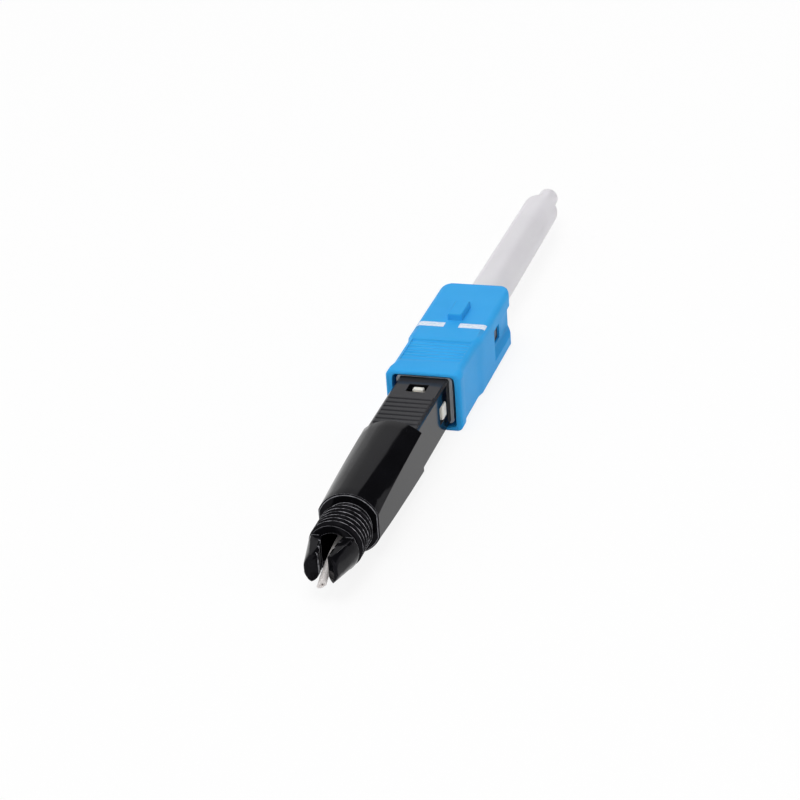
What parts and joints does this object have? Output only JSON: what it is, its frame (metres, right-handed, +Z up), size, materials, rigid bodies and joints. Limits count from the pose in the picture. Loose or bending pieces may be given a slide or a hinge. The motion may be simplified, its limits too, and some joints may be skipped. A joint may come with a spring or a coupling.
{
  "type": "splice-on fibre connector",
  "caption": "Push-pull fibre connector with a square blue coupling housing, long round dust cap, ribbed black body and a threaded tail with toothed clamping jaws.",
  "frame": {"origin": "middle of the part's length and width, on the surface it lies on", "axes": "+Y along the fibre axis from the cable tail to the optical face, +Z up through the housing key"},
  "size_m": [0.009, 0.1026, 0.0082],
  "materials": {
    "blue_plastic": "moulded satin",
    "white_ink": "printed fill",
    "grey_plastic": "moulded satin",
    "zirconia": "ground and polished",
    "flange_plastic": "moulded",
    "white_plastic": "moulded",
    "splice_aluminium": "machined",
    "spring_steel": "drawn",
    "fibre_glass": "drawn glass",
    "black_plastic": "moulded satin",
    "tube_plastic": "extruded",
    "cap_plastic": "translucent moulded"
  },
  "bodies": {
    "body": {"main_body": "black_plastic", "plug_frame": "grey_plastic", "ferrule_spring": "spring_steel"},
    "housing": {"outer_housing": "blue_plastic", "index_marks": "white_ink"},
    "ferrule_unit": {"ferrule": "zirconia", "ferrule_flange": "flange_plastic", "splice_carrier": "white_plastic", "splice_base": "splice_aluminium", "splice_cover": "splice_aluminium", "splice_clip": "spring_steel", "fibre_stub": "fibre_glass"},
    "cap": {"dust_cap": "cap_plastic"},
    "tube": {"guide_tube": "tube_plastic"}
  },
  "joints": [
    {"name": "housing_slide", "type": "slide", "parent": "body", "child": "housing", "axis": [0, -1, 0], "range_m": [0, 0.002]},
    {"name": "ferrule_float", "type": "slide", "parent": "body", "child": "ferrule_unit", "axis": [0, -1, 0], "range_m": [0, 0.001], "stiffness_N_per_m": 3000, "springref_m": -0.002, "deforming": ["ferrule_spring"]},
    {"name": "cap_pull", "type": "slide", "parent": "ferrule_unit", "child": "cap", "axis": [0, 1, 0], "range_m": [0, 0.04]},
    {"name": "tube_pull", "type": "slide", "parent": "body", "child": "tube", "axis": [0, -1, 0], "range_m": [0, 0.025]}
  ]
}
